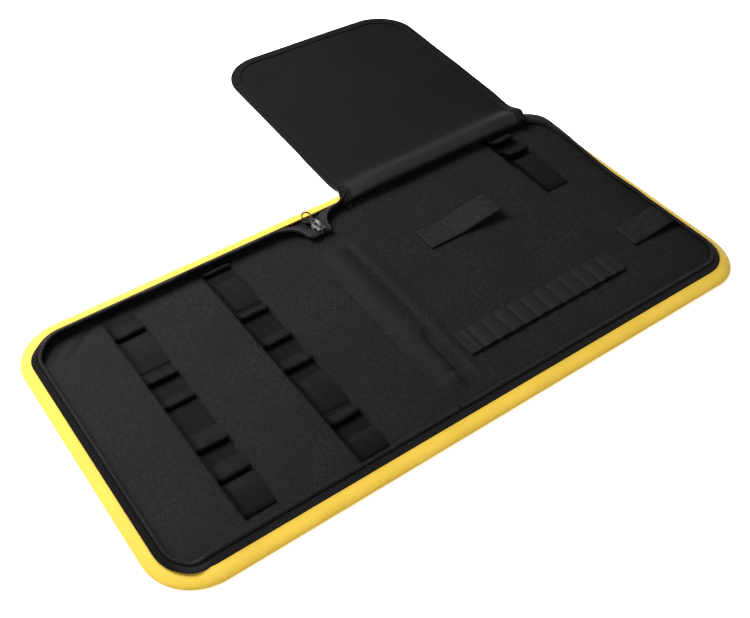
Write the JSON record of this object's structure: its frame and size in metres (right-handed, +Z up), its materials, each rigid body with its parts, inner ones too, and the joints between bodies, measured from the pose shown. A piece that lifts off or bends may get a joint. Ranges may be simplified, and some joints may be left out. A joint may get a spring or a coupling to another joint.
{
  "type": "tool pouch",
  "caption": "Zip-round tool pouch lying open flat, with a bright cover, dark lining, rows of elastic loops, straps and a wide protective flap folded back.",
  "frame": {"origin": "middle of the spine, on the table under the open cover", "axes": "+X across the open case towards the half that carries the flap, +Y towards the edge with the slider and the flap's fold, +Z up from the table"},
  "size_m": [0.665, 0.6345, 0.0192],
  "materials": {
    "cover": "woven nylon",
    "lining": "woven polyester",
    "zip_tape": "woven zip tape",
    "zip_coil": "satin",
    "elastic": "ribbed elastic",
    "webbing": "ribbed webbing",
    "flap": "coated cloth",
    "zip_metal": "dark nickel plate"
  },
  "bodies": {
    "case": {"outer_cover": "cover", "lining": "lining", "zip_tape_left": "zip_tape", "zip_tape_right": "zip_tape", "zip_coil_left": "zip_coil", "zip_coil_right": "zip_coil", "zip_tail": "zip_tape", "slider_body": "zip_metal", "left_loop_band_1": "elastic", "left_loop_band_2": "elastic", "far_loop_band": "elastic", "small_loop_row": "elastic", "upper_strap": "webbing", "side_strap": "webbing", "flap_panel": "flap", "flap_binding": "zip_tape"},
    "pull": {"zip_pull": "zip_metal"}
  },
  "joints": [
    {"name": "pull_hinge", "type": "hinge", "parent": "case", "child": "pull", "pos_m": [-0.0015, 0.1332, 0.0149], "axis": [0.9877, 0.1564, 0], "range_deg": [0, 170]}
  ]
}
